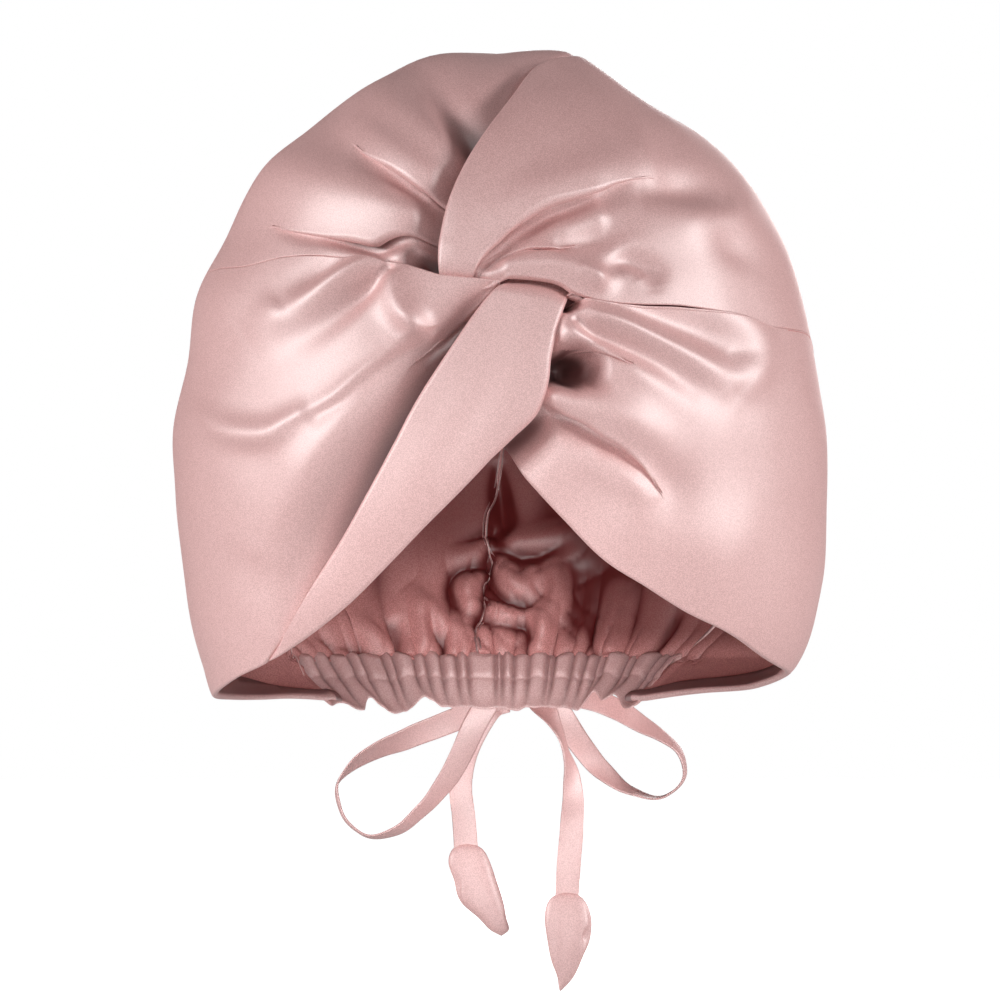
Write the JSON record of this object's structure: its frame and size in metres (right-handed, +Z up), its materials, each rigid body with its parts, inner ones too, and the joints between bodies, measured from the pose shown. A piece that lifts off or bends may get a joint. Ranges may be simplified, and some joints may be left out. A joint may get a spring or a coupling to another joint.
{
  "type": "satin sleep bonnet",
  "caption": "Turban-style satin sleep bonnet with a twisted front, a gathered nape casing and a ribbon bow with tulip tips.",
  "frame": {"origin": "top of the head hollow, on the crown's inside, where the bonnet rests on a head", "axes": "+Z up, the front with its twist and face opening looks toward -Y, +X is to the right as seen from the front"},
  "size_m": [0.2745, 0.242, 0.3972],
  "materials": {
    "satin": "dusty rose satin with a soft sheen",
    "ribbon": "dusty rose satin ribbon"
  },
  "bodies": {
    "root": {"crown_left": "satin", "crown_right": "satin", "front_wrap_left": "satin", "twist_band": "satin", "front_wrap_right": "satin", "nape_casing": "satin", "bow_knot": "ribbon", "bow_loop_left": "ribbon", "bow_loop_right": "ribbon", "tie_tail_left": "ribbon", "tie_tail_right": "ribbon", "tie_tip_left": "satin", "tie_tip_right": "satin"}
  },
  "joints": []
}
